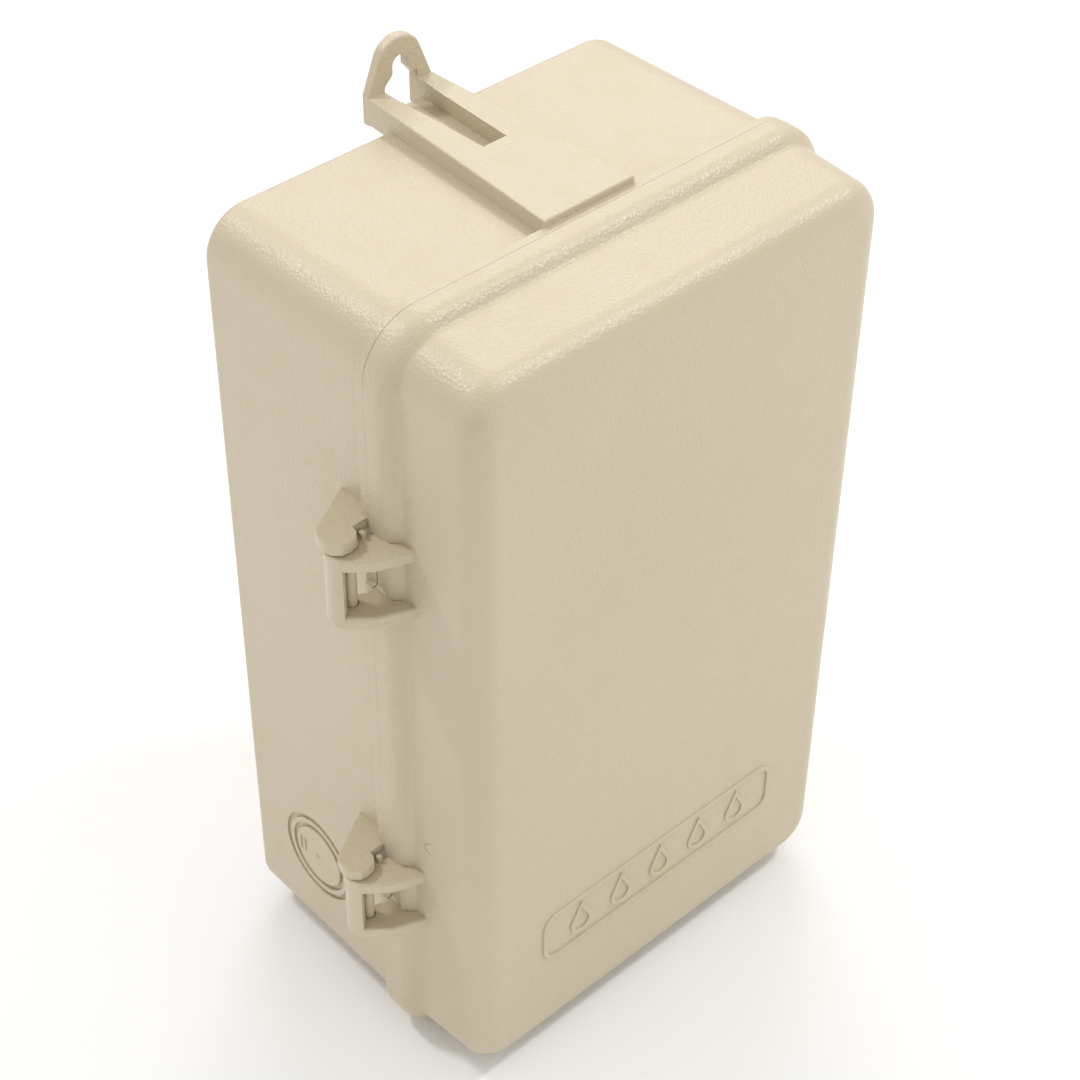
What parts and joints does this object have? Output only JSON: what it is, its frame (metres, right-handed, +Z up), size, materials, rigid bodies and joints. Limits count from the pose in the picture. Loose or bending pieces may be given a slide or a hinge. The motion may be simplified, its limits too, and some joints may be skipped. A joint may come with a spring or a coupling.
{
  "type": "irrigation controller",
  "caption": "Wall-mounted mechanical irrigation controller: deep plastic case, hinged cover, geared day dial with trippers, calendar wheel, transformer, run-time timer and terminals.",
  "frame": {"origin": "on the hanging ear's back face, in the web above its keyhole, on the centre line of the case", "axes": "+Z up along the case's height; -Y out of the wall towards the cover's front; +X to the right for someone facing the cover"},
  "size_m": [0.1662, 0.1056, 0.2576],
  "materials": {
    "enclosure_beige": "satin, fine leather grain",
    "zinc_steel": "zinc plated",
    "screw_steel": "zinc plated",
    "brass": "plain",
    "switch_black": "matte",
    "core_grey": "varnished laminations",
    "coil_tape": "taped winding",
    "panel_grey": "satin",
    "ground_green": "dyed screw",
    "lead_red": "insulated lead",
    "lead_white": "insulated lead",
    "lead_yellow": "insulated lead",
    "card_white": "matte",
    "dial_white": "satin",
    "trip_red": "satin",
    "trip_green": "satin",
    "gear_white": "matte",
    "calendar_yellow": "satin"
  },
  "bodies": {
    "case_body": {"case": "enclosure_beige", "mechanism_plate": "zinc_steel", "plate_screw_1": "screw_steel", "plate_screw_2": "screw_steel", "plate_screw_3": "screw_steel", "plate_screw_4": "screw_steel", "clock_motor": "zinc_steel", "gear_bridge": "zinc_steel", "bridge_post_1": "brass", "bridge_post_2": "brass", "bridge_post_3": "brass", "bridge_screw_1": "screw_steel", "bridge_screw_2": "screw_steel", "bridge_screw_3": "screw_steel", "switch_block": "switch_black", "transformer_core": "core_grey", "transformer_winding": "coil_tape", "interval_timer": "zinc_steel", "selector_switch": "switch_black", "front_panel": "panel_grey", "panel_post_1": "brass", "panel_post_2": "brass", "panel_screw_1": "screw_steel", "panel_screw_2": "screw_steel", "terminal_block": "switch_black", "terminal_screw_1": "brass", "terminal_screw_2": "brass", "terminal_screw_3": "brass", "terminal_screw_4": "brass", "terminal_screw_5": "brass", "terminal_screw_6": "brass", "ground_lug": "brass", "ground_screw": "ground_green", "lead_transformer_1": "lead_red", "lead_transformer_2": "lead_white", "lead_timer": "lead_yellow"},
    "cover_body": {"cover": "enclosure_beige", "schedule_card": "card_white"},
    "dial_body": {"day_dial": "dial_white", "dial_gear": "brass", "dial_shaft": "screw_steel", "dial_nut": "brass", "tripper_1": "trip_red", "tripper_2": "trip_green", "tripper_3": "trip_red", "tripper_4": "trip_green", "calendar_stud": "screw_steel"},
    "idler_body": {"idler_gear": "gear_white"},
    "pinion_body": {"motor_pinion": "brass"},
    "calendar_body": {"calendar_wheel": "calendar_yellow"},
    "trip_lever_body": {"trip_lever": "trip_red"},
    "knob_body": {"run_time_knob": "switch_black"},
    "selector_body": {"selector_lever": "gear_white"}
  },
  "joints": [
    {"name": "cover_hinge", "type": "hinge", "parent": "case_body", "child": "cover_body", "pos_m": [-0.0776, -0.0734, -0.1335], "axis": [0, 0, -1], "range_deg": [0, 110]},
    {"name": "dial_spin", "type": "hinge", "parent": "case_body", "child": "dial_body", "pos_m": [-0.012, -0.0615, -0.0935], "axis": [0, 1, 0], "continuous": true},
    {"name": "idler_spin", "type": "hinge", "parent": "case_body", "child": "idler_body", "pos_m": [-0.03232, -0.0475, -0.1195], "axis": [0, 1, 0], "continuous": true},
    {"name": "pinion_spin", "type": "hinge", "parent": "case_body", "child": "pinion_body", "pos_m": [-0.00732, -0.0465, -0.1195], "axis": [0, 1, 0], "continuous": true},
    {"name": "calendar_index", "type": "hinge", "parent": "dial_body", "child": "calendar_body", "pos_m": [-0.012, -0.0645, -0.0685], "axis": [0, 1, 0], "continuous": true},
    {"name": "trip_lever_pivot", "type": "hinge", "parent": "case_body", "child": "trip_lever_body", "pos_m": [0.046, -0.0555, -0.0915], "axis": [0, 1, 0], "range_deg": [-20, 20]},
    {"name": "run_time_turn", "type": "hinge", "parent": "case_body", "child": "knob_body", "pos_m": [0.02, -0.0695, -0.1675], "axis": [0, 1, 0], "range_deg": [0, 270]},
    {"name": "selector_rock", "type": "hinge", "parent": "case_body", "child": "selector_body", "pos_m": [0.046, -0.0455, -0.1675], "axis": [1, 0, 0], "range_deg": [-15, 15]}
  ],
  "couplings": [
    {"joint": "idler_spin", "follows": "dial_spin", "ratio": -4.5},
    {"joint": "pinion_spin", "follows": "dial_spin", "ratio": 18},
    {"joint": "calendar_index", "follows": "dial_spin", "ratio": 0.071429}
  ]
}
